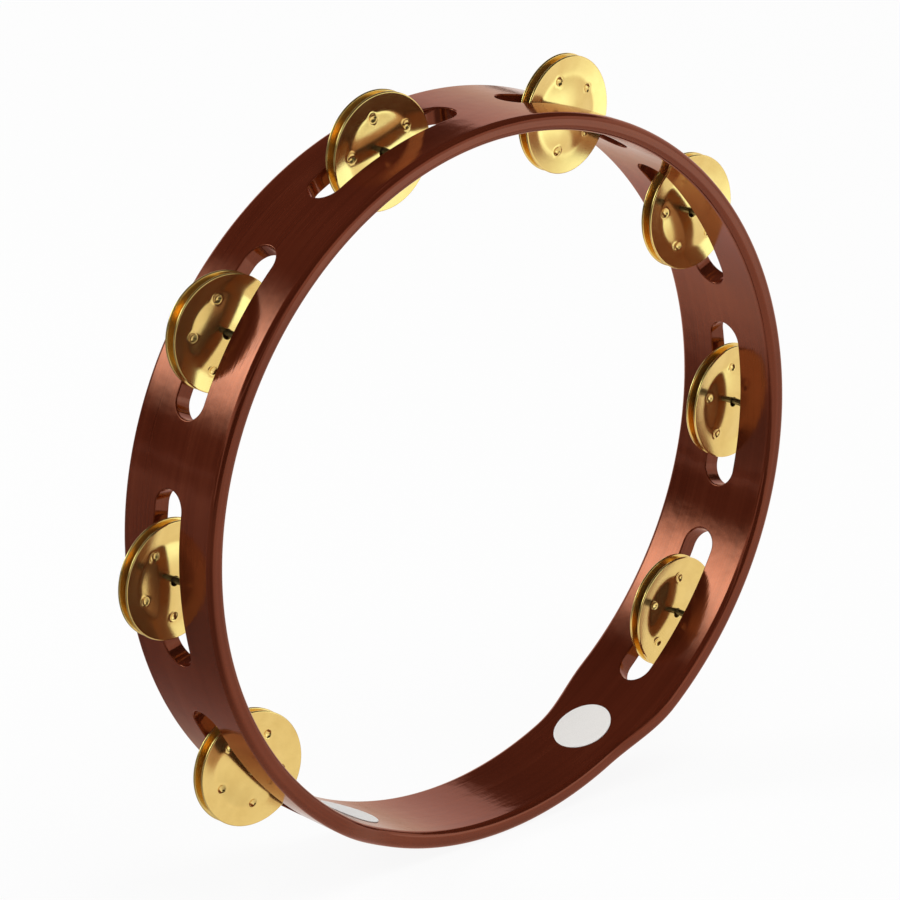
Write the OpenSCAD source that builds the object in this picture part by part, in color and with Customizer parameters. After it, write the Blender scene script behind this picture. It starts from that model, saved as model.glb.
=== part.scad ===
// Tambourine: a bent wooden hoop with no drumhead, eight pairs of brass jingles on steel pins
// and a narrowed hand grip.
// The hoop stands upright with its axis along Y, its front towards -Y and the grip at the bottom.
// The origin is the middle of the wood in the middle of the grip.

/* [Hoop] */
// Outside diameter of the hoop
hoop_d = 254; // [250:1:260]
// Depth of the hoop, from its front edge to its rear edge
hoop_depth = 45.6; // [44:0.2:50]
// Thickness of the bent wood
wall_t = 6.1; // [5.8:0.1:7]
// Radius of the rounded edges
edge_r = 2.3; // [1.5:0.1:2.6]

/* [Hand grip] */
// How far each edge is cut in along the grip
grip_cut = 4.4; // [2:0.1:5]
// Half of the angle over which the grip keeps its narrow depth
grip_half_angle = 23; // [18:1:25]
// Angle over which each end of the grip widens again
grip_ramp_angle = 14; // [10:1:16]

/* [Slots] */
// Number of jingle slots, one pair of jingles in each
slots = 8; // [4:2:8]
// Angle from one slot to the next
slot_pitch = 37; // [35:1:37]
// Length of a slot, round the middle of the wall
slot_l = 61; // [56:1:63]
// Width of a slot
slot_w = 13.2; // [12.8:0.2:14]

/* [Jingles] */
// Diameter of a jingle
jingle_d = 40; // [36:1:41]
// Thickness of the brass sheet
jingle_t = 0.9; // [0.7:0.1:1]
// Diameter of the hole that the pin goes through
jingle_hole_d = 3.4; // [3:0.1:4]
// Diameter of the dome, measured at the crease where the brim starts
dome_d = 27; // [24:1:28]
// Height of the dome above the crease
dome_rise = 1.6; // [1.2:0.1:1.8]
// Distance from the pair's middle plane to the middle of the sheet at the crease
crease_h = 0.9; // [0.8:0.1:1.1]
// Distance from the pair's middle plane to the middle of the sheet at the rim
rim_h = 2; // [1.6:0.1:2.2]
// Number of punched dimples in a jingle
dimples = 5; // [4:1:6]
// Distance of the dimples from the jingle's centre
dimple_ring_r = 12.5; // [11:0.5:13]
// Width of a dimple
dimple_w = 3; // [2:0.2:3.2]
// Depth of a dimple
dimple_deep = 0.5; // [0.3:0.1:0.6]

/* [Pins] */
// Diameter of a pin
pin_d = 2.2; // [1.8:0.1:2.4]
// Distance from the pin's tip to the hoop's front edge
pin_tip_cover = 6; // [4:0.5:10]
// Diameter of a pin's head
pin_head_d = 3.4; // [3:0.1:4]
// Thickness of a pin's head
pin_head_t = 1; // [0.6:0.1:1.4]
// How far a pin's head is set below the rear edge
pin_head_sunk = 0.4; // [0.2:0.1:0.8]

/* [Labels] */
// Diameter of the two blank stickers inside the grip
label_d = 21; // [16:1:24]
// Thickness of a sticker
label_t = 0.25; // [0.2:0.05:0.4]
// Angle of a sticker from the middle of the grip
label_angle = 26; // [22:1:30]

/* [Hidden] */

$fn = 96;
outer_r = hoop_d / 2;
inner_r = outer_r - wall_t;
middle_r = outer_r - wall_t / 2;
edge_h = hoop_depth / 2;
bottom_angle = 270;
top_angle = 90;

// Cutting bodies pass through a surface by this much.
clear = 3;

// The slots were cut by hand, so each one strays from its even place by a few degrees.
slot_strays = [0, 0, -1.5, -2.5, -3, -1, 0, 1];

// Every pair of jingles has come to rest turned by an angle of its own about its pin.
jingle_turns = [56, -17, 31, 34, 33, 25, 16, 8];
// The rear jingle of a pair is turned further than the front one.
rear_turn = 29;
// Both lean, by an angle about the upright line through their holes.
jingle_leans = [4, -3, 5, 1, -6, -3, -6, -6];
// The pairs have slid along their pins too, by these distances towards the rear.
pair_slides = [0, 2.4, 1.8, 2, 1.2, 2.4, 2.4, 1.8];

// A jingle hangs from the top of its hole, a hair clear of the pin.
hang_clear = 0.05;
hang_drop = (jingle_hole_d - pin_d) / 2 - hang_clear;

// Distance from the pair's middle plane to the middle of the sheet at the hole.
hole_h = crease_h + dome_rise;
// The spherical dome's radius, from its diameter and its height.
dome_sphere_r = ((dome_d / 2) ^ 2 + dome_rise ^ 2) / (2 * dome_rise);
dimple_sphere_r = ((dimple_w / 2) ^ 2 + dimple_deep ^ 2) / (2 * dimple_deep);
// The sheet left under a dimple.
dimple_sheet_t = jingle_t * 0.75;

// Angle from a slot's middle to the axis of its round end.
slot_end_angle = (slot_l - slot_w) / 2 / middle_r * 180 / PI;

// The hoop has this many sections on each side of the middle of the grip, and then round the rest.
grip_rings = 18;
wide_rings = 96;
grip_end_angle = grip_half_angle + grip_ramp_angle;
corner_step = 22.5;

// The glue under a sticker.
glue_t = 0.03;

// Slot k, counted clockwise from the grip as the player faces the front edge.
function slot_angle(k) = top_angle + ((slots + 1) / 2 - k) * slot_pitch + slot_strays[k - 1];

// Lays a shape drawn about the Z axis, with its front towards +Z, into the upright hoop.
module upright() {
    translate([0, 0, middle_r])
        rotate([90, 0, 0])
            children();
}

// Puts a shape on the pin line of slot k, in the hoop's middle plane.
module at_slot(k) {
    rotate([0, 0, slot_angle(k)])
        translate([middle_r, 0, 0])
            children();
}

// ---- Hoop ----

// Height of the hoop's edge above its middle plane, at an angle from the middle of the grip.
function ramp_share(angle) =
    min(1, max(0, (abs(angle) - grip_half_angle) / grip_ramp_angle));
function edge_h_at(angle) = edge_h - grip_cut * (1 + cos(180 * ramp_share(angle))) / 2;

// One rounded corner of the wall's section, centred at x and y.
function corner(x, y, start) =
    [for (a = [start:corner_step:start + 90]) [x + edge_r * cos(a), y + edge_r * sin(a)]];

// The wall's section, a bar with four rounded corners that reaches height h on both sides.
function wall_section(h) = concat(
    corner(outer_r - edge_r, h - edge_r, 0),
    corner(inner_r + edge_r, h - edge_r, 90),
    corner(inner_r + edge_r, edge_r - h, 180),
    corner(outer_r - edge_r, edge_r - h, 270));

// The bent bar is lofted through its sections, closer together along the grip.
module bent_bar() {
    wide_angle = 360 - 2 * grip_end_angle;
    angles = concat(
        [for (i = [-grip_rings:grip_rings]) grip_end_angle * i / grip_rings],
        [for (i = [1:wide_rings - 1]) grip_end_angle + wide_angle * i / wide_rings]);
    rings = [for (a = angles)
        [for (p = wall_section(edge_h_at(a)))
            [p.x * cos(bottom_angle + a), p.x * sin(bottom_angle + a), p.y]]];
    n = len(rings[0]);
    count = len(rings);
    polyhedron(
        points = [for (ring = rings, p = ring) p],
        faces = [for (i = [0:count - 1], j = [0:n - 1])
            [i * n + j, i * n + (j + 1) % n,
             (i + 1) % count * n + (j + 1) % n, (i + 1) % count * n + j]],
        convexity = 4);
}

// A slot about the X axis, cut through the wall with round ends that point at the hoop's centre.
module slot_cut() {
    cut_in = inner_r - clear;
    cut_out = outer_r + 2 * clear;
    linear_extrude(slot_w, center = true)
        polygon([for (p = [[cut_in, -1], [cut_out, -1], [cut_out, 1], [cut_in, 1]])
            [p.x * cos(slot_end_angle), p.x * p.y * sin(slot_end_angle)]]);
    for (side = [-1, 1])
        rotate([0, 0, side * slot_end_angle])
            translate([cut_in, 0, 0])
                rotate([0, 90, 0])
                    cylinder(d = slot_w, h = cut_out - cut_in);
}

// A blind hole for the pin, with a seat for its head in the rear edge.
module pin_bore() {
    translate([0, 0, -edge_h - clear])
        cylinder(d = pin_d, h = hoop_depth + clear - pin_tip_cover, $fn = 32);
    translate([0, 0, -edge_h - clear])
        cylinder(d = pin_head_d, h = clear + pin_head_sunk + pin_head_t, $fn = 32);
}

module hoop() {
    color([0.40, 0.20, 0.13])
        upright()
            difference() {
                bent_bar();
                for (k = [1:slots]) {
                    rotate([0, 0, slot_angle(k)])
                        slot_cut();
                    at_slot(k)
                        pin_bore();
                }
            }
}

// ---- Pins ----

module pin(k) {
    shank_l = hoop_depth - pin_head_sunk - pin_tip_cover;
    color([0.33, 0.32, 0.31])
        upright()
            at_slot(k)
                translate([0, 0, -edge_h + pin_head_sunk]) {
                    cylinder(d = pin_d, h = shank_l, $fn = 32);
                    cylinder(d = pin_head_d, h = pin_head_t, $fn = 32);
                }
}

// ---- Jingles ----

// Height of the middle of the sheet at a distance from the pin: a domed centre, a crease, then a
// brim that flares out to the rim.
function dome_h(r) =
    crease_h + dome_rise - dome_sphere_r + sqrt(dome_sphere_r ^ 2 - r ^ 2);
function brim_h(r) =
    crease_h + (rim_h - crease_h) * sin(90 * (r - dome_d / 2) / (jingle_d - dome_d) * 2);
function sheet_h(r) = r < dome_d / 2 ? dome_h(r) : brim_h(r);

dome_steps = 6;
brim_steps = 4;
sheet_radii = concat(
    [for (i = [0:dome_steps]) jingle_hole_d / 4 + (dome_d / 2 - jingle_hole_d / 4) * i / dome_steps],
    [for (i = [1:brim_steps]) dome_d / 2 + (jingle_d - dome_d) / 2 * i / brim_steps]);

module sheet() {
    count = len(sheet_radii);
    rotate_extrude()
        polygon(concat(
            [for (r = sheet_radii) [r, sheet_h(r) - jingle_t / 2]],
            [for (i = [count - 1:-1:0]) [sheet_radii[i], sheet_h(sheet_radii[i]) + jingle_t / 2]]));
}

// Spheres about the centre of each dimple, which lies in front of the sheet.
module dimple_spheres(r) {
    centre_h = sheet_h(dimple_ring_r) + jingle_t / 2 - dimple_deep + dimple_sphere_r;
    for (i = [0:dimples - 1])
        rotate([0, 0, i * 360 / dimples])
            translate([dimple_ring_r, 0, centre_h])
                sphere(r = r, $fn = 48);
}

// One jingle with its outer side towards +Z, on its own axis.
module jingle_body() {
    difference() {
        union() {
            sheet();
            intersection() {
                dimple_spheres(dimple_sphere_r + dimple_sheet_t);
                cylinder(r = dimple_ring_r + dimple_w, h = sheet_h(dimple_ring_r));
            }
        }
        dimple_spheres(dimple_sphere_r);
        translate([0, 0, -clear])
            cylinder(d = jingle_hole_d, h = 4 * clear, $fn = 48);
    }
}

// side is 1 for the front jingle of slot k and -1 for the rear one.
module jingle(k, side) {
    turn = jingle_turns[k - 1] + (side < 0 ? rear_turn : 0);
    color([0.83, 0.66, 0.33])
        translate([0, pair_slides[k - 1], -hang_drop])
            upright()
                at_slot(k)
                    rotate([0, 0, -slot_angle(k)])
                        translate([0, 0, side * hole_h])
                            rotate([0, -jingle_leans[k - 1], 0])
                                rotate([0, 0, turn])
                                    mirror([0, 0, side < 0 ? 1 : 0])
                                        translate([0, 0, -hole_h])
                                            jingle_body();
}

// ---- Labels ----

// side is 1 for the sticker on the right, as seen from the front, and -1 for the left one.
module label(side) {
    color([0.90, 0.88, 0.85])
        upright()
            intersection() {
                difference() {
                    cylinder(r = inner_r - glue_t, h = label_d + clear, center = true, $fn = 360);
                    cylinder(r = inner_r - glue_t - label_t, h = label_d + 2 * clear,
                        center = true, $fn = 360);
                }
                rotate([0, 0, bottom_angle + side * label_angle])
                    translate([inner_r, 0, 0])
                        rotate([0, 90, 0])
                            cylinder(d = label_d, h = 4 * clear, center = true);
            }
}

hoop();
for (k = [1:slots]) {
    pin(k);
    jingle(k, 1);
    jingle(k, -1);
}
label(-1);  // label_left
label(1);  // label_right
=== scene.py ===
"""The looks of a headless tambourine: a lacquered hoop, eight pairs of brass jingles, pins and stickers."""

import math

import bpy
import numpy as np
from mathutils import Matrix, Vector


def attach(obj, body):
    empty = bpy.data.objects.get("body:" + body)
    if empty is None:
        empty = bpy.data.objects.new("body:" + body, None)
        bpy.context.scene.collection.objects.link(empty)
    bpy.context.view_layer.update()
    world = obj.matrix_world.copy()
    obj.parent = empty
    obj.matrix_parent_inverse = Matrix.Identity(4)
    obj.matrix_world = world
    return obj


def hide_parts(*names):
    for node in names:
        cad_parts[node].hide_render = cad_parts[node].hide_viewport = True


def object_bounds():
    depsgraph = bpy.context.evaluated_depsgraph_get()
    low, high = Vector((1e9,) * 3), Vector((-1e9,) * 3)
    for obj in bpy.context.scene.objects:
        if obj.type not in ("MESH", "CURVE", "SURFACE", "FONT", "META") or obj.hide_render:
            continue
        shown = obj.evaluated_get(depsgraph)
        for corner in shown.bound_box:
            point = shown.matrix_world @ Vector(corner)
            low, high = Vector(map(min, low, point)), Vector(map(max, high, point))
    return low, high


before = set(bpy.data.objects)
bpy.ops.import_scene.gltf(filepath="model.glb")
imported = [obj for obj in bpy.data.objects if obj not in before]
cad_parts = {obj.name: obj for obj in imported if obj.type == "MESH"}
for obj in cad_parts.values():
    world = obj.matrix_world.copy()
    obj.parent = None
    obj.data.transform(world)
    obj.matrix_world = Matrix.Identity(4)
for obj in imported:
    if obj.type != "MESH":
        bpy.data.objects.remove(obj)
cad_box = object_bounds()

# ---------------------------------------------------------------- sizes, in metres and degrees
# The hoop stands upright, and angles run round it from 0 at +X over 90 at the top to 270 at the grip.
MM = 0.001
OUTER_R = 127.0 * MM
WALL_T = 6.1 * MM
INNER_R = OUTER_R - WALL_T
MIDDLE_R = OUTER_R - WALL_T / 2
EDGE_H = 22.8 * MM         # half the hoop's depth
EDGE_R = 2.3 * MM          # rounding of the hoop's edges
CENTRE_Z = MIDDLE_R
TOP_ANGLE = 90.0
GRIP_ANGLE = 270.0
GRIP_CUT = 4.4 * MM        # how far each edge steps in along the grip
GRIP_HALF_ANGLE = 23.0
GRIP_RAMP_ANGLE = 14.0

SLOTS = 8
SLOT_PITCH = 37.0
SLOT_STRAYS = [0, 0, -1.5, -2.5, -3, -1, 0, 1]  # how far each slot lies off its even place
SLOT_R = 6.6 * MM          # half a slot's width, and the radius of its round ends
SLOT_L = 61.0 * MM
SLOT_END_ANGLE = math.degrees((SLOT_L / 2 - SLOT_R) / MIDDLE_R)  # from its middle to its end's centre
SLOT_ROUND = 0.5 * MM      # rounding of a slot's lips
HEAD_SEAT_R = 1.75 * MM    # round seat of a pin's head in the rear edge
HEAD_SEAT_DEEP = 1.35 * MM

JINGLE_R = 20.0 * MM
JINGLE_T = 0.9 * MM
HOLE_R = 1.7 * MM
DOME_R = 13.5 * MM
DOME_RISE = 1.6 * MM
CREASE_H = 0.9 * MM        # height of the sheet where the dome meets the brim
CREASE_SOFT = 0.22 * MM
RIM_H = 2.0 * MM           # height of the sheet at the end of the brim
HOLE_H = CREASE_H + DOME_RISE
DIMPLES = 5
DIMPLE_RING_R = 12.5 * MM
DIMPLE_R = 1.5 * MM
DIMPLE_DEEP = 0.58 * MM
DIMPLE_LIP = 0.08 * MM
HANG_DROP = 0.55 * MM      # how far a jingle's hole hangs below its pin's middle
JINGLE_TURNS = [56, -17, 31, 34, 33, 25, 16, 8]     # turn of each front jingle about its own axis
REAR_TURN = 29             # further turn of the jingle behind it
JINGLE_LEANS = [4, -3, 5, 1, -6, -3, -6, -6]        # lean of each pair about the upright
PAIR_SLIDES = [0, 2.4, 1.8, 2, 1.2, 2.4, 2.4, 1.8]  # place of each pair along its pin, in millimetres

LABEL_R = 10.5 * MM
LABEL_T = 0.25 * MM
LABEL_SOFT = 0.12 * MM     # rounding of a sticker's edge
LABEL_ANGLE = 26.0         # how far each sticker lies from the bottom
GLUE_T = 0.03 * MM

Y_AXIS = Vector((0.0, 1.0, 0.0))
RING_CENTRE = Vector((0.0, 0.0, CENTRE_Z))


# ---------------------------------------------------------------- places round the hoop
def spread(start, stop, steps, last=False):
    """Places in equal steps from start towards stop. stop itself is among them only if last is set."""
    return [start + (stop - start) * i / steps for i in range(steps + last)]


def radial(angle):
    turn = math.radians(angle)
    return Vector((math.cos(turn), 0.0, math.sin(turn)))


def tangent(angle):
    turn = math.radians(angle)
    return Vector((-math.sin(turn), 0.0, math.cos(turn)))


def on_wall(radius, angle, y):
    return RING_CENTRE + radial(angle) * radius + Y_AXIS * y


def sector_angle(k):
    """Where slot k would be if the slots were even."""
    return TOP_ANGLE + ((SLOTS + 1) / 2 - k) * SLOT_PITCH


def slot_angle(k):
    return sector_angle(k) + SLOT_STRAYS[k - 1]


def edge_h_at(angle):
    """Half the hoop's depth at an angle, lower along the grip."""
    off = abs((angle - GRIP_ANGLE + 180.0) % 360.0 - 180.0)
    share = min(1.0, max(0.0, (off - GRIP_HALF_ANGLE) / GRIP_RAMP_ANGLE))
    return EDGE_H - GRIP_CUT * (1 + math.cos(math.pi * share)) / 2


def edge_slope_at(angle):
    """How fast the hoop's edge rises, in metres per radian."""
    step = 0.05
    return (edge_h_at(angle + step) - edge_h_at(angle - step)) / math.radians(2 * step)


def flat_at(angle):
    """Half the depth of the wall's flat side."""
    return edge_h_at(angle) - EDGE_R


# ---------------------------------------------------------------- meshes
class Skin:
    """A mesh made of grids of points, each with its own normal. Points that coincide are joined."""

    def __init__(self):
        self.points, self.normals, self.index, self.faces = [], [], {}, []

    def point(self, place, normal):
        key = tuple(round(c * 1e7) for c in place)
        if key not in self.index:
            self.index[key] = len(self.points)
            self.points.append(tuple(place))
            self.normals.append(tuple(normal.normalized()))
        return self.index[key]

    def grid(self, rows, closed=False):
        """rows of (place, normal) pairs, joined by quads that face the way their normals do."""
        ids = [[self.point(*pair) for pair in row] for row in rows]
        count = len(ids[0])
        for low, high in zip(ids, ids[1:]):
            for j in range(count if closed else count - 1):
                after = (j + 1) % count
                quad = [low[j], low[after], high[after], high[j]]
                face = [v for i, v in enumerate(quad) if v != quad[i - 1]]
                if len(face) > 2:
                    self.faces.append(self.outward(face))

    def sharp_grid(self, rows):
        """A closed grid that shares no points with the rest, so that its edges stay sharp."""
        kept, self.index = self.index, {}
        self.grid(rows, closed=True)
        self.index = kept

    def outward(self, face):
        """The face, turned over if it faces against its points' normals."""
        spots = [Vector(self.points[v]) for v in face]
        facing = (spots[1] - spots[0]).cross(spots[2] - spots[0])
        facing += (spots[2] - spots[0]).cross(spots[-1] - spots[0])
        wanted = sum((Vector(self.normals[v]) for v in face), Vector())
        return face if facing.dot(wanted) > 0 else face[::-1]

    def mesh(self, name):
        data = bpy.data.meshes.new(name)
        data.from_pydata(self.points, [], self.faces)
        data.validate()
        data.shade_smooth()
        data.normals_split_custom_set_from_vertices(self.normals)
        return data


def add_object(name, data):
    made = bpy.data.objects.new(name, data)
    bpy.context.scene.collection.objects.link(made)
    return made


def add_piece(name, data, material, body, node_name, matrix=None):
    """A piece that rides on a body and takes the place of one CAD node."""
    data.materials.append(material)
    piece = add_object(name, data)
    if matrix is not None:
        piece.matrix_world = matrix
    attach(piece, body)
    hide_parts(node_name)


# ---------------------------------------------------------------- hoop
SIDE_STEPS = 22       # along the wall's depth
ARC_CORNER_STEPS = 8  # from a slot's round end to its straight side
STRAIGHT_STEPS = 26   # along a slot's straight side
WEB_RINGS = 9         # between a slot and the edges of its sector
WEB_GATHER = 1.4      # how much those rings gather near the slot
ROUND_STEPS = 5       # over the slot's rounded lip
WALL_STEPS = 4        # through the wall
CORNER_STEPS = 10     # round the hoop's rounded edges
SEAT_STEPS = 3        # steps of the rear edge on each side of a pin's head
SEAT_RINGS = 5        # between a pin's seat and the edge around it
CORNER_SPLIT = 53.0   # where a slot's round end hands over to its sides
EDGE_FLAT = WALL_T / 2 - EDGE_R                # half the flat strip between an edge's two roundings
EDGE_REACH = EDGE_FLAT + EDGE_R * math.pi / 2  # from the middle of an edge, over its rounding, to the wall


def slot_loop(centre, radius, grow=0.0):
    """(angle, y, outward direction) round a slot at a radius of the ring, from the lower corner ray."""
    reach = SLOT_R + grow
    loop = []

    def end(side, start, stop, steps):
        middle = centre + side * SLOT_END_ANGLE
        for way in spread(start, stop, steps):
            turn = math.radians(way)
            angle = middle + math.degrees(math.asin(reach * math.cos(turn) / radius))
            out = tangent(middle) * math.cos(turn) + Y_AXIS * math.sin(turn)
            loop.append((angle, reach * math.sin(turn), out))

    def straight(side):
        for i in range(STRAIGHT_STEPS):
            angle = centre + side * SLOT_END_ANGLE * (1 - 2 * i / STRAIGHT_STEPS)
            loop.append((angle, side * reach, Y_AXIS * side))

    end(1, -CORNER_SPLIT, CORNER_SPLIT, SIDE_STEPS)
    end(1, CORNER_SPLIT, 90, ARC_CORNER_STEPS)
    straight(1)
    end(-1, 90, 180 - CORNER_SPLIT, ARC_CORNER_STEPS)
    end(-1, 180 - CORNER_SPLIT, 180 + CORNER_SPLIT, SIDE_STEPS)
    end(-1, 180 + CORNER_SPLIT, 270, ARC_CORNER_STEPS)
    straight(-1)
    end(1, 270, 360 - CORNER_SPLIT, ARC_CORNER_STEPS)
    return loop


def sector_angles(k):
    """Angles at which the walls of slot k's sector have points on their rims, from its high end down."""
    high, low = sector_angle(k) + SLOT_PITCH / 2, sector_angle(k) - SLOT_PITCH / 2
    from_slot, to_slot = slot_angle(k) + SLOT_END_ANGLE, slot_angle(k) - SLOT_END_ANGLE
    angles = spread(high, from_slot, ARC_CORNER_STEPS)
    angles += spread(from_slot, to_slot, STRAIGHT_STEPS)
    angles += spread(to_slot, low, ARC_CORNER_STEPS)
    return angles + [low]


def sector_rim(k):
    """(angle, y) round slot k's sector, point for point with slot_loop."""
    angles = sector_angles(k)
    high, low = angles[0], angles[-1]
    shares = [2 * i / SIDE_STEPS - 1 for i in range(SIDE_STEPS)]
    rim = [(high, flat_at(high) * share) for share in shares]
    rim += [(angle, flat_at(angle)) for angle in angles[:-1]]
    rim += [(low, -flat_at(low) * share) for share in shares]
    rim += [(angle, -flat_at(angle)) for angle in angles[:0:-1]]
    return rim


def web_rows(k, side, radius):
    """The wall's inner or outer side, from slot k's lip to the rim of its sector."""
    loop, rim = slot_loop(slot_angle(k), radius, SLOT_ROUND), sector_rim(k)
    rows = []
    for step in range(WEB_RINGS + 1):
        share = (step / WEB_RINGS) ** WEB_GATHER
        row = []
        for (angle, y, _), (rim_angle, rim_y) in zip(loop, rim):
            at = angle + (rim_angle - angle) * share
            row.append((on_wall(radius, at, y + (rim_y - y) * share), radial(at) * side))
        rows.append(row)
    return rows


def lip_rows(k, side, radius):
    """The rounded lip of slot k on the wall's inner or outer side."""
    rows = []
    for step in range(ROUND_STEPS + 1):
        turn = math.pi / 2 * step / ROUND_STEPS
        at = radius - side * SLOT_ROUND * (1 - math.cos(turn))
        row = []
        for angle, y, out in slot_loop(slot_angle(k), at, SLOT_ROUND * (1 - math.sin(turn))):
            normal = radial(angle) * side * math.cos(turn) - out * math.sin(turn)
            row.append((on_wall(at, angle, y), normal))
        rows.append(row)
    return rows


def slot_sector(skin, k):
    """The wall round one slot, its rounded lips and its own walls."""
    brinks = []
    for side, radius in ((1, OUTER_R), (-1, INNER_R)):
        skin.grid(web_rows(k, side, radius), closed=True)
        lip = lip_rows(k, side, radius)
        skin.grid(lip, closed=True)
        brinks.append(lip[-1])
    rows = []
    for step in range(WALL_STEPS + 1):
        share = step / WALL_STEPS
        rows.append([(outer[0].lerp(inner[0], share), outer[1]) for outer, inner in zip(*brinks)])
    skin.grid(rows, closed=True)


def grip_angles():
    """The grip's stretch between the last sector and the first, in steps of about one degree."""
    start, stop = sector_angle(1) + SLOT_PITCH / 2, sector_angle(SLOTS) - SLOT_PITCH / 2 + 360.0
    return spread(start, stop, round(stop - start), last=True)


def grip_sector(skin):
    """The plain wall of the grip."""
    shares = [2 * j / SIDE_STEPS - 1 for j in range(SIDE_STEPS + 1)]
    for side, radius in ((1, OUTER_R), (-1, INNER_R)):
        rows = []
        for angle in grip_angles():
            normal = radial(angle) * side
            rows.append([(on_wall(radius, angle, flat_at(angle) * share), normal) for share in shares])
        skin.grid(rows)


def edge_point(angle, side, across):
    """A point of the rounded edge and its normal. across runs from 1 at the outer wall to -1."""
    along = abs(across) * EDGE_REACH
    facing = math.copysign(1, across)
    turn = max(0.0, along - EDGE_FLAT) / EDGE_R
    off = min(along, EDGE_FLAT) + EDGE_R * math.sin(turn)
    at = MIDDLE_R + facing * off
    y = side * (flat_at(angle) + EDGE_R * math.cos(turn))
    normal = radial(angle) * facing * math.sin(turn) + Y_AXIS * side * math.cos(turn)
    normal -= tangent(angle) * edge_slope_at(angle) * math.cos(turn) / at
    return on_wall(at, angle, y), normal


def edge_shares():
    """Places across the rounded edge, denser round its corners."""
    rounding = EDGE_R * math.pi / 2
    corner = [(EDGE_FLAT + rounding * i / CORNER_STEPS) / EDGE_REACH for i in range(CORNER_STEPS, -1, -1)]
    return corner + [-share for share in corner[::-1]]


def edge_strip(skin, side, angles):
    skin.grid([[edge_point(angle, side, share) for share in edge_shares()] for angle in angles])


def across_at(off):
    """The place across the rounded edge that lies a distance off the wall's middle."""
    curved = EDGE_R * math.asin(max(0.0, abs(off) - EDGE_FLAT) / EDGE_R)
    return math.copysign(min(abs(off), EDGE_FLAT) + curved, off) / EDGE_REACH


def seat_rim(angles):
    """(angle, place across the edge) round a patch of the rear edge."""
    shares = edge_shares()
    rim = [(angles[0], share) for share in shares[:-1]]
    rim += [(angle, shares[-1]) for angle in angles[:-1]]
    rim += [(angles[-1], share) for share in shares[:0:-1]]
    rim += [(angle, shares[0]) for angle in angles[:0:-1]]
    return rim


def seat_mouth(centre, rim):
    """(angle, place across the edge) round the seat's mouth, point for point with the rim."""
    mouth = []
    for angle, share in rim:
        spoke = math.atan2(share * WALL_T / 2, math.radians(angle - centre) * MIDDLE_R)
        seat_angle = centre + math.degrees(HEAD_SEAT_R * math.cos(spoke) / MIDDLE_R)
        mouth.append((seat_angle, across_at(HEAD_SEAT_R * math.sin(spoke))))
    return mouth


def seat_inside(skin, centre, mouth):
    """The seat's wall and its flat bottom, with sharp edges."""
    floor_y = EDGE_H - HEAD_SEAT_DEEP
    middle = on_wall(MIDDLE_R, centre, floor_y)
    top, low, bottom = [], [], []
    for place, _ in mouth:
        below = Vector((place.x, floor_y, place.z))
        inward = Vector((middle.x - place.x, 0.0, middle.z - place.z))
        top.append((place, inward))
        low.append((below, inward))
        bottom.append((below, Y_AXIS))
    skin.sharp_grid([top, low])
    skin.sharp_grid([bottom, [(middle, Y_AXIS)] * len(bottom)])


def head_seat(skin, centre, angles):
    """The rear edge round a pin's head, which lies in a round seat. angles run across the patch."""
    rim = seat_rim(angles)
    mouth = seat_mouth(centre, rim)
    rows = []
    for ring in range(SEAT_RINGS + 1):
        mix = ring / SEAT_RINGS
        row = []
        for (angle, share), (seat_angle, seat_share) in zip(rim, mouth):
            at = seat_angle + (angle - seat_angle) * mix
            row.append(edge_point(at, 1, seat_share + (share - seat_share) * mix))
        rows.append(row)
    skin.grid(rows, closed=True)
    seat_inside(skin, centre, rows[0])


def make_hoop():
    """The hoop: eight sectors with a slot and a pin's seat each, the grip and the rounded edges."""
    skin = Skin()
    pin_step = ARC_CORNER_STEPS + STRAIGHT_STEPS // 2
    first, last = pin_step - SEAT_STEPS, pin_step + SEAT_STEPS
    for k in range(1, SLOTS + 1):
        slot_sector(skin, k)
        angles = sector_angles(k)
        edge_strip(skin, -1, angles)
        edge_strip(skin, 1, angles[:first + 1])
        edge_strip(skin, 1, angles[last:])
        head_seat(skin, slot_angle(k), angles[first:last + 1])
    grip_sector(skin)
    for side in (1, -1):
        edge_strip(skin, side, grip_angles())
    return skin.mesh("hoop_lacquered")


# ---------------------------------------------------------------- jingles
HUB_RINGS = 12               # rings of points between the hole and the dimples
DIMPLE_RINGS = 17            # over the dimples
BRIM_RINGS = 9               # outside the dimples
DIMPLE_BAND = 2.0 * MM       # how far the dense rings reach on each side of the dimples' middles
DIMPLE_HALF_ANGLE = 9.0      # how far the dense columns reach on each side of a dimple's middle
DENSE_STEP = 1.2             # degrees between the dense columns
WIDE_STEPS = 15              # columns between two dimples
RIM_STEPS = 8                # over a rounded edge of the sheet
HOLE_BULGE = 0.5             # how round the hole's edge is: 1 is a half circle, as at the brim
LIP_PLACE, LIP_SPAN = 1.15, 0.2      # where a dimple's lip lies and how wide it is, in dimple radii
SLOPE_OUT, SLOPE_ROUND = 1e-6, 1e-4  # small steps, in metres and radians, that slopes are taken over


def sheet_h(r):
    """Height of the middle of a jingle's sheet: a domed centre, a soft crease, then a flared brim."""
    sphere_r = (DOME_R**2 + DOME_RISE**2) / (2 * DOME_RISE)
    dome = HOLE_H - sphere_r + np.sqrt(np.maximum(sphere_r**2 - r**2, 0.0))
    brim = CREASE_H + (RIM_H - CREASE_H) * (r - DOME_R) / (JINGLE_R - DOME_R)
    return (dome + brim) / 2 + np.hypot((dome - brim) / 2, CREASE_SOFT)


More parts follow.
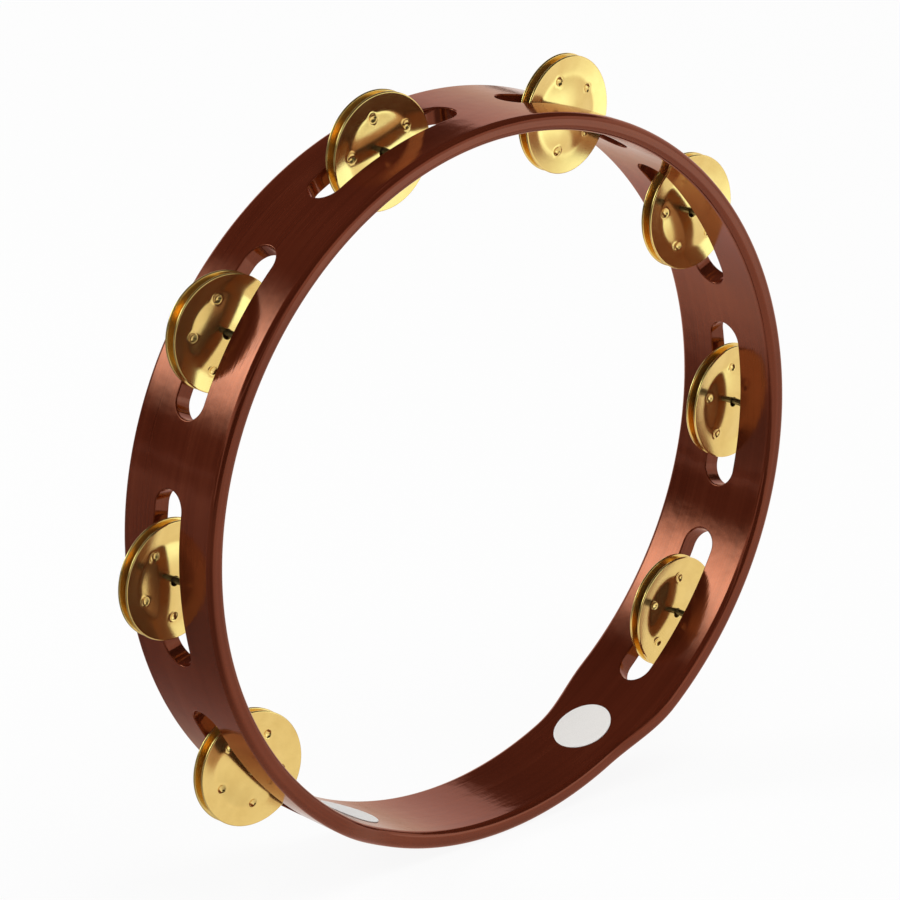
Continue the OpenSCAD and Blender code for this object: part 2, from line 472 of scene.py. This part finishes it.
def dimple_depth(r, theta):
    """How far the punched dents push the sheet back, with the low lip that a punch raises."""
    depth = np.zeros_like(r)
    x, y = r * np.cos(theta), r * np.sin(theta)
    for i in range(DIMPLES):
        turn = 2 * math.pi * i / DIMPLES
        off_x, off_y = x - DIMPLE_RING_R * math.cos(turn), y - DIMPLE_RING_R * math.sin(turn)
        away = np.hypot(off_x, off_y) / DIMPLE_R
        lip = np.exp(-(((away - LIP_PLACE) / LIP_SPAN) ** 2))
        depth += DIMPLE_DEEP * np.clip(1 - away**2, 0.0, 1.0) - DIMPLE_LIP * lip
    return depth


def jingle_columns():
    """Angles round a jingle in radians, closer together at its dimples."""
    dense = np.arange(-DIMPLE_HALF_ANGLE, DIMPLE_HALF_ANGLE - 1e-6, DENSE_STEP)
    gap = 360.0 / DIMPLES
    wide = gap - 2 * DIMPLE_HALF_ANGLE
    angles = []
    for i in range(DIMPLES):
        middle = i * gap
        angles += [middle + off for off in dense]
        angles += [middle + DIMPLE_HALF_ANGLE + wide * j / WIDE_STEPS for j in range(WIDE_STEPS)]
    return np.radians(np.array(angles))


def jingle_radii():
    """Radii of a jingle's rings of points, closer together at its dimples."""
    half = JINGLE_T / 2
    near, far = DIMPLE_RING_R - DIMPLE_BAND, DIMPLE_RING_R + DIMPLE_BAND
    return np.concatenate([
        np.linspace(HOLE_R + half * HOLE_BULGE, near, HUB_RINGS)[:-1],
        np.linspace(near, far, DIMPLE_RINGS)[:-1],
        np.linspace(far, JINGLE_R - half, BRIM_RINGS),
    ])


def sheet_side(radii, theta, side):
    """Height of one side of the sheet on a grid of radii and angles, with its slopes outwards and round."""
    r, t = np.meshgrid(radii, theta, indexing="ij")

    def height(at, turn):
        return sheet_h(at) - dimple_depth(at, turn) + side * JINGLE_T / 2

    out = (height(r + SLOPE_OUT, t) - height(r - SLOPE_OUT, t)) / (2 * SLOPE_OUT)
    across = (height(r, t + SLOPE_ROUND) - height(r, t - SLOPE_ROUND)) / (2 * SLOPE_ROUND) / r
    return height(r, t), out, across


def sheet_rows(radii, theta, spin, side):
    """(place, normal) rows over one side of the sheet, turned by spin."""
    heights, out, across = sheet_side(radii, theta, side)
    rows = []
    for i, r in enumerate(radii):
        row = []
        for j, turn in enumerate(theta):
            c, s = math.cos(turn + spin), math.sin(turn + spin)
            normal = Vector((-out[i, j] * c + across[i, j] * s, -out[i, j] * s - across[i, j] * c, 1.0))
            row.append((Vector((r * c, r * s, heights[i, j])), normal * side))
        rows.append(row)
    return rows


def round_rows(top_row, bottom_row, theta, spin, bulge):
    """A rounded edge between the sheet's two sides. It bulges outwards, or inwards if bulge is negative."""
    facing = math.copysign(1, bulge)
    rows = [top_row]
    for step in range(1, RIM_STEPS):
        tilt = math.pi * step / RIM_STEPS
        row = []
        for (top, _), (bottom, _), turn in zip(top_row, bottom_row, theta):
            out = Vector((math.cos(turn + spin), math.sin(turn + spin), 0.0))
            up = (top - bottom) / 2
            place = (top + bottom) / 2 + up * math.cos(tilt) + out * bulge * math.sin(tilt)
            row.append((place, up.normalized() * math.cos(tilt) + out * facing * math.sin(tilt)))
        rows.append(row)
    return rows + [bottom_row]


def make_jingle(turn, lean):
    """A jingle with its outer side towards +Z, turned about its own axis and then leaned by a matrix."""
    radii, theta, spin = jingle_radii(), jingle_columns(), math.radians(turn)
    skin = Skin()
    top = sheet_rows(radii, theta, spin, 1)
    skin.grid(top, closed=True)
    bottom = sheet_rows(radii, theta, spin, -1)
    skin.grid(bottom, closed=True)
    for ring, bulge in ((-1, JINGLE_T / 2), (0, -JINGLE_T / 2 * HOLE_BULGE)):
        skin.grid(round_rows(top[ring], bottom[ring], theta, spin, bulge), closed=True)
    hole = Vector((0.0, 0.0, HOLE_H))
    skin.points = [tuple(lean @ (Vector(point) - hole) + hole) for point in skin.points]
    skin.normals = [tuple(lean @ Vector(normal)) for normal in skin.normals]
    return skin.mesh("jingle")


# ---------------------------------------------------------------- stickers
LABEL_RINGS = 10   # from a sticker's middle to its rounded edge
LABEL_POINTS = 72  # round a sticker
LABEL_TILTS = (0.5, 1.0, math.pi / 2)  # tilts of the normal over the rounded edge, in radians


def label_profile(front, back):
    """(distance from the sticker's middle, radius of the ring, tilt of the normal), outwards."""
    profile = [(LABEL_R * i / LABEL_RINGS, front, 0.0) for i in range(LABEL_RINGS)]
    profile.append((LABEL_R - LABEL_SOFT, front, 0.0))
    for tilt in LABEL_TILTS:
        off = LABEL_R - LABEL_SOFT * (1 - math.sin(tilt))
        profile.append((off, front + LABEL_SOFT * (1 - math.cos(tilt)), tilt))
    profile.append((LABEL_R, back, math.pi / 2))
    return profile


def make_label(angle):
    """A round sticker lying on the inside of the grip, with softened edges."""
    back = INNER_R - GLUE_T
    turns = [2 * math.pi * j / LABEL_POINTS for j in range(LABEL_POINTS)]
    skin = Skin()

    def spot(off, turn, radius):
        wide = math.degrees(math.asin(off * math.cos(turn) / radius))
        return on_wall(radius, angle + wide, off * math.sin(turn))

    rows = []
    for off, radius, tilt in label_profile(back - LABEL_T, back):
        row = []
        for turn in turns:
            inward = -radial(angle + math.degrees(off * math.cos(turn) / radius))
            out = tangent(angle) * math.cos(turn) + Y_AXIS * math.sin(turn)
            row.append((spot(off, turn, radius), inward * math.cos(tilt) + out * math.sin(tilt)))
        rows.append(row)
    skin.grid(rows, closed=True)
    rows = []
    for off in (LABEL_R, LABEL_R / 2, 0.0):
        rows.append([(spot(off, turn, back), radial(angle)) for turn in turns])
    skin.grid(rows, closed=True)
    return skin.mesh("label")


# ---------------------------------------------------------------- materials
class Shader:
    """The node tree of a material or a world, built one node at a time."""

    def __init__(self, owner):
        self.owner = owner
        owner.use_nodes = True
        self.tree = owner.node_tree
        self.tree.nodes.clear()

    def node(self, kind, inputs=None, **props):
        """A node with its inputs set to values, or linked to the outputs of other nodes."""
        made = self.tree.nodes.new(kind)
        for key, value in props.items():
            setattr(made, key, value)
        for key, value in (inputs or {}).items():
            socket = made.inputs[key]
            if isinstance(value, bpy.types.NodeSocket):
                self.tree.links.new(value, socket)
            else:
                socket.default_value = value
        return made

    def math(self, operation, a, b=0.0):
        return self.node("ShaderNodeMath", {0: a, 1: b}, operation=operation).outputs[0]

    def place(self):
        """The place on the object, in metres."""
        return self.node("ShaderNodeTexCoord").outputs["Object"]

    def noise(self, place, scale, detail=2.0):
        inputs = {"Vector": place, "Scale": scale, "Detail": detail}
        return self.node("ShaderNodeTexNoise", inputs).outputs["Fac"]

    def ramp(self, factor, stops):
        made = self.node("ShaderNodeValToRGB", {"Fac": factor})
        elements = made.color_ramp.elements
        while len(elements) < len(stops):
            elements.new(0.5)
        for element, (place, colour) in zip(elements, stops):
            element.position = place
            element.color = (*colour, 1.0)
        return made.outputs["Color"]

    def stretch(self, value, times, plus):
        return self.math("ADD", self.math("MULTIPLY", value, times), plus)

    def hypot(self, a, b):
        squares = self.math("ADD", self.math("MULTIPLY", a, a), self.math("MULTIPLY", b, b))
        return self.math("SQRT", squares)

    def blend(self, first, *others):
        """The sum of values, each times its share. Every part is a (value, share) pair."""
        total = self.math("MULTIPLY", *first)
        for part in others:
            total = self.math("ADD", total, self.math("MULTIPLY", *part))
        return total

    def bump(self, height, strength, distance, normal=None):
        inputs = {"Strength": strength, "Distance": distance, "Height": height}
        if normal is not None:
            inputs["Normal"] = normal
        return self.node("ShaderNodeBump", inputs).outputs[0]

    def finish(self, surface, output="ShaderNodeOutputMaterial"):
        """Sends the surface to the output, and gives back the material or world."""
        self.node(output, {"Surface": surface})
        return self.owner


def new_shader(name):
    return Shader(bpy.data.materials.new(name))


WOOD_DARK = (0.115, 0.018, 0.007)
WOOD_MID = (0.160, 0.027, 0.011)
WOOD_LIGHT = (0.210, 0.042, 0.018)
WOOD_STOPS = [(0.30, WOOD_DARK), (0.5, WOOD_MID), (0.72, WOOD_LIGHT)]
LACQUER = {
    "Metallic": 0.55,
    "Specular IOR Level": 0.8,
    "Specular Tint": (1.0, 0.52, 0.26, 1.0),
    "Coat Weight": 0.12,
    "Coat Roughness": 0.03,
    "Coat IOR": 1.5,
}
BRASS = (0.88, 0.62, 0.21)
BRASS_DULL = (0.78, 0.52, 0.16)


def wood_material():
    """Stained, steam-bent wood whose grain runs round the hoop, under a clear gloss lacquer."""
    s = new_shader("lacquered_wood")
    place = s.place()
    x, y, z = s.node("ShaderNodeSeparateXYZ", {0: place}).outputs
    z = s.math("SUBTRACT", z, CENTRE_Z)
    across = s.math("ADD", y, s.hypot(x, z))

    def grain(along, over, detail):
        """Noise with one scale along the grain, round the hoop, and another over it."""
        at = s.node("ShaderNodeCombineXYZ", {
            0: s.math("MULTIPLY", x, along),
            1: s.math("MULTIPLY", across, over),
            2: s.math("MULTIPLY", z, along),
        })
        return s.noise(at.outputs[0], 1.0, detail)

    fine = grain(along=14.0, over=1500.0, detail=4.0)
    broad = grain(along=7.0, over=260.0, detail=3.0)
    cloud = grain(along=22.0, over=40.0, detail=2.0)
    tone = s.blend((fine, 0.30), (broad, 0.35), (cloud, 0.35))
    coat_bump = s.bump(s.noise(place, scale=130.0), strength=0.10, distance=0.0008)
    bsdf = s.node("ShaderNodeBsdfPrincipled", {
        "Base Color": s.ramp(tone, WOOD_STOPS),
        "Roughness": s.stretch(fine, times=0.08, plus=0.06),
        "Normal": s.bump(fine, strength=0.06, distance=0.0004, normal=coat_bump),
        "Coat Normal": coat_bump,
        **LACQUER,
    })
    return s.finish(bsdf.outputs[0])


def brass_material():
    """Polished brass with the faint rings that turning leaves."""
    s = new_shader("jingle_brass")
    place = s.place()
    cloud = s.noise(place, scale=160.0, detail=3.0)
    x, y, _ = s.node("ShaderNodeSeparateXYZ", {0: place}).outputs
    rings = s.node("ShaderNodeCombineXYZ", {
        0: s.math("MULTIPLY", s.hypot(x, y), 9000.0),
        1: s.math("MULTIPLY", x, 60.0),
        2: s.math("MULTIPLY", y, 60.0),
    })
    lathe = s.noise(rings.outputs[0], scale=1.0)
    tone = s.blend((cloud, 0.7), (lathe, 0.3))
    bsdf = s.node("ShaderNodeBsdfPrincipled", {
        "Base Color": s.ramp(tone, [(0.25, BRASS_DULL), (0.6, BRASS)]),
        "Metallic": 0.945,
        "Roughness": s.stretch(tone, times=0.10, plus=0.10),
        "Normal": s.bump(lathe, strength=0.03, distance=0.0002),
    })
    return s.finish(bsdf.outputs[0])


def grainy_material(name, scale, detail, colours, rough, bump, metallic=0.0):
    """A material whose colour, gloss and surface all follow one noise."""
    s = new_shader(name)
    grain = s.noise(s.place(), scale, detail)
    bsdf = s.node("ShaderNodeBsdfPrincipled", {
        "Base Color": s.ramp(grain, [(0.3, colours[0]), (0.7, colours[1])]),
        "Metallic": metallic,
        "Roughness": s.stretch(grain, **rough),
        "Normal": s.bump(grain, **bump),
    })
    return s.finish(bsdf.outputs[0])


def steel_material():
    return grainy_material(
        "pin_steel", scale=900.0, detail=3.0, colours=((0.20, 0.19, 0.18), (0.42, 0.41, 0.39)),
        rough={"times": 0.2, "plus": 0.22}, bump={"strength": 0.08, "distance": 0.0001}, metallic=1.0)


def paper_material():
    return grainy_material(
        "label_paper", scale=2500.0, detail=4.0, colours=((0.80, 0.78, 0.75), (0.87, 0.85, 0.82)),
        rough={"times": 0.15, "plus": 0.35}, bump={"strength": 0.1, "distance": 0.00003})


# ---------------------------------------------------------------- the object
def dress_jingles(brass):
    """Every jingle at its own turn, lean and place on its pin."""
    for k in range(1, SLOTS + 1):
        centre = RING_CENTRE + radial(slot_angle(k)) * MIDDLE_R
        centre += Y_AXIS * PAIR_SLIDES[k - 1] * MM - Vector((0, 0, HANG_DROP))
        leaned = Matrix.Rotation(math.radians(-JINGLE_LEANS[k - 1]), 4, "Z")
        turn = JINGLE_TURNS[k - 1]
        for side_name, up, spin in (("front", 90, turn), ("rear", -90, -(turn + REAR_TURN))):
            node_name = f"jingle_{k}_{side_name}"
            upright = Matrix.Rotation(math.radians(up), 4, "X")
            lean = upright.inverted() @ leaned @ upright
            data = make_jingle(spin, lean.to_3x3())
            matrix = Matrix.Translation(centre) @ upright
            add_piece(f"{node_name}_brass", data, brass, node_name, node_name, matrix)


def dress_pins(steel):
    """The pins keep their CAD solids."""
    for k in range(1, SLOTS + 1):
        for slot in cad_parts[f"pin_{k}"].material_slots:
            slot.material = steel


def dress_labels(paper):
    for name, side in (("label_left", -1), ("label_right", 1)):
        data = make_label(GRIP_ANGLE + side * LABEL_ANGLE)
        add_piece(f"{name}_paper", data, paper, "hoop_frame", name)


# ---------------------------------------------------------------- studio
AMBIENT = 0.35             # strength of the world's light on the object
FLOOR_HALF = 12.0          # half the floor's side
FLOOR_COLOURS = ((0.84, 0.84, 0.84), (0.86, 0.86, 0.86))
FLOOR_GLOW = 0.92          # share of plain white in the floor that the camera sees, near the object
GLOW_FADE = (0.6, 3.0)     # distances over which that share grows to 1
FLOOR_GLOW_GLOSSY = 0.85   # share of glow in the floor that reflections see
TABLE_MIDDLE = (4.2, -1.5, 0.0)  # the glow in reflections lies round this place, at the front right
TABLE_FADE = (4.48, 4.66)  # distances from there over which it fades, just left of the object
TABLE_BRIGHT = 0.98        # its strength there
TABLE_DIM = 0.08           # its strength further off
CARD_STEPS = 24            # faces along each side of a card
WHITE = (1.0, 1.0, 1.0)
WINDOW_TINT = (0.80, 1.0, 0.98)
NEAR_WINDOW_TINT = (0.8, 1.0, 1.1)
CAMERA_AZIMUTH = 41.0567   # where the camera looks: 0 is along +Y and 90 along +X
CAMERA_ELEVATION = -20.0890
CAMERA_DISTANCE = 1.79803
CAMERA_RIGHT = -4.970 * MM  # how far it stands off the line to the ring's centre, in its own axes
CAMERA_UP = 6.909 * MM
CAMERA_LENS = 215.46       # millimetres, on a sensor 36 wide
CAMERA_SENSOR = 36.0
PHOTO_TURN = 0.7           # how far the ring in the photo is turned about its own axis


def floor_material():
    """White to the camera. Reflections see it white at the front right and dark at the left."""
    s = new_shader("floor_pale")
    paths = s.node("ShaderNodeLightPath").outputs
    place = s.place()
    speck = s.noise(place, scale=300.0)
    colour = s.ramp(speck, [(0.3, FLOOR_COLOURS[0]), (0.7, FLOOR_COLOURS[1])])
    lit = s.node("ShaderNodeBsdfDiffuse", {"Color": colour})

    def fade(value, reach, start, stop, **props):
        inputs = {"Value": value, "From Min": reach[0], "From Max": reach[1], "To Min": start, "To Max": stop}
        return s.node("ShaderNodeMapRange", inputs, **props).outputs[0]

    away = s.node("ShaderNodeVectorMath", {0: place, 1: TABLE_MIDDLE}, operation="DISTANCE").outputs["Value"]
    table = fade(away, TABLE_FADE, TABLE_BRIGHT, TABLE_DIM, interpolation_type="SMOOTHSTEP")
    strength = s.math("MAXIMUM", paths["Is Camera Ray"], table)
    seen = s.node("ShaderNodeEmission", {"Color": (*WHITE, 1.0), "Strength": strength})
    off = s.node("ShaderNodeVectorMath", {0: place}, operation="LENGTH").outputs["Value"]
    camera_share = s.math("MULTIPLY", paths["Is Camera Ray"], fade(off, GLOW_FADE, FLOOR_GLOW, 1.0))
    glossy_share = s.math("MULTIPLY", paths["Is Glossy Ray"], FLOOR_GLOW_GLOSSY)
    share = s.math("MAXIMUM", camera_share, glossy_share)
    mixed = s.node("ShaderNodeMixShader", {0: share, 1: lit.outputs[0], 2: seen.outputs[0]})
    return s.finish(mixed.outputs[0])


def pale_floor():
    """A wide floor at the foot of the object."""
    corners = [(x * FLOOR_HALF, y * FLOOR_HALF, 0) for x, y in ((-1, -1), (1, -1), (1, 1), (-1, 1))]
    data = bpy.data.meshes.new("floor")
    data.from_pydata(corners, [], [(0, 1, 2, 3)])
    data.materials.append(floor_material())
    floor = add_object("floor", data)
    floor.location.z = cad_box[0].z


def way_to(azimuth, elevation):
    """A direction from the ring's centre. Azimuth 0 is straight behind it and 90 to its right."""
    turn, rise = math.radians(azimuth), math.radians(elevation)
    return Vector((math.sin(turn) * math.cos(rise), math.cos(turn) * math.cos(rise), math.sin(rise)))


def card_mesh(name, azimuths, elevations, distance):
    """A patch of a sphere round the ring's centre, with a UV map from 0 to 1 across it."""
    turns = spread(*azimuths, CARD_STEPS, last=True)
    rises = spread(*elevations, CARD_STEPS, last=True)
    points = [RING_CENTRE + way_to(turn, rise) * distance for rise in rises for turn in turns]
    wide = len(turns)
    starts = [j * wide + i for j in range(CARD_STEPS) for i in range(CARD_STEPS)]
    faces = [(start, start + 1, start + wide + 1, start + wide) for start in starts]
    data = bpy.data.meshes.new(name)
    data.from_pydata(points, [], faces)
    layer = data.uv_layers.new(name="card")
    for loop in data.loops:
        i, j = loop.vertex_index % wide, loop.vertex_index // wide
        layer.data[loop.index].uv = (i / CARD_STEPS, j / CARD_STEPS)
    return data


def card_material(name, strength, soft, colour):
    """A glow that fades out towards the sides over the shares of the card given by soft."""
    s = new_shader(name)
    across = s.node("ShaderNodeSeparateXYZ", {0: s.node("ShaderNodeTexCoord").outputs["UV"]})
    mask = None
    for place, width in zip(across.outputs, soft):
        if width:
            inside = s.math("SUBTRACT", 0.5, s.math("ABSOLUTE", s.math("SUBTRACT", place, 0.5)))
            inputs = {"Value": inside, "From Max": width}
            fade = s.node("ShaderNodeMapRange", inputs, interpolation_type="SMOOTHSTEP").outputs[0]
            mask = fade if mask is None else s.math("MULTIPLY", mask, fade)
    clear = s.node("ShaderNodeBsdfTransparent")
    glow = s.node("ShaderNodeEmission", {"Color": (*colour, 1.0), "Strength": strength})
    mixed = s.node("ShaderNodeMixShader", {0: mask, 1: clear.outputs[0], 2: glow.outputs[0]})
    return s.finish(mixed.outputs[0])


def card(name, azimuths, elevations, distance, strength, soft, colour=WHITE):
    """A curved studio card with soft edges that only reflections see, between two azimuths and elevations."""
    data = card_mesh(name, azimuths, elevations, distance)
    data.materials.append(card_material(name, strength, soft, colour))
    made = add_object(name, data)
    for ray in ("camera", "diffuse", "transmission", "volume_scatter", "shadow"):
        setattr(made, f"visible_{ray}", False)


def softbox(name, azimuth, elevation, distance, size, power):
    """An area lamp that faces the ring's centre and doesn't show in reflections."""
    way = way_to(azimuth, elevation)
    data = bpy.data.lights.new(name, "AREA")
    data.shape = "RECTANGLE"
    data.size, data.size_y = size
    data.energy = power
    lamp = add_object(name, data)
    lamp.location = RING_CENTRE + way * distance
    lamp.rotation_euler = (-way).to_track_quat("-Z", "Y").to_euler()
    lamp.visible_glossy = False


def studio_world():
    """White for the camera, reflections and clear things, a plain level of light for everything else."""
    world = bpy.data.worlds.new("studio")
    bpy.context.scene.world = world
    s = Shader(world)
    paths = s.node("ShaderNodeLightPath").outputs
    seen = s.node("ShaderNodeBackground", {"Color": (*WHITE, 1.0), "Strength": 1.0})
    ambient = s.node("ShaderNodeBackground", {"Color": (*WHITE, 1.0), "Strength": AMBIENT})
    share = s.math("MAXIMUM", paths["Is Camera Ray"], paths["Is Glossy Ray"])
    share = s.math("MAXIMUM", share, paths["Is Transmission Ray"])
    mixed = s.node("ShaderNodeMixShader", {0: share, 1: ambient.outputs[0], 2: seen.outputs[0]})
    s.finish(mixed.outputs[0], "ShaderNodeOutputWorld")


def camera():
    """The camera at the photo's viewing angle, turned with the ring."""
    data = bpy.data.cameras.new("camera")
    data.sensor_width = CAMERA_SENSOR
    data.lens = CAMERA_LENS
    data.clip_start, data.clip_end = 0.05, 50.0
    ahead = way_to(CAMERA_AZIMUTH, CAMERA_ELEVATION)
    right = way_to(CAMERA_AZIMUTH + 90.0, 0.0)
    up = right.cross(ahead)
    place = right * CAMERA_RIGHT + up * CAMERA_UP - ahead * CAMERA_DISTANCE
    axes = Matrix((right, up, -ahead)).transposed().to_4x4()
    turn = Matrix.Rotation(math.radians(PHOTO_TURN), 4, "Y")
    made = add_object("camera", data)
    made.matrix_world = Matrix.Translation(RING_CENTRE) @ turn @ Matrix.Translation(place) @ axes
    bpy.context.scene.camera = made


# ---------------------------------------------------------------- the scene
add_piece("hoop_lacquered", make_hoop(), wood_material(), "hoop_frame", "hoop")
dress_jingles(brass_material())
dress_pins(steel_material())
dress_labels(paper_material())

pale_floor()
studio_world()
card("black_lining", azimuths=(0, 360), elevations=(24, 90), distance=3.0, strength=0.03, soft=(0, 0.06))
card("black_side", azimuths=(-100, -8), elevations=(-4, 18), distance=2.9, strength=0.03, soft=(0.15, 0.3))
card("white_window", azimuths=(-58, -20), elevations=(8, 42), distance=2.6, strength=7.8,
     soft=(0.5, 0.5), colour=WINDOW_TINT)
card("black_front", azimuths=(-178, -95), elevations=(-18, 26), distance=2.7, strength=0.02, soft=(0.2, 0.1))
card("front_window", azimuths=(112, 172), elevations=(-16, 18), distance=0.45, strength=1.8,
     soft=(0.35, 0.35), colour=NEAR_WINDOW_TINT)
softbox("back_left", azimuth=-39, elevation=26, distance=2.2, size=(0.9, 0.9), power=26)
softbox("overhead", azimuth=150, elevation=70, distance=2.2, size=(1.8, 1.2), power=26)
camera()
bpy.context.scene.view_settings.view_transform = "Standard"
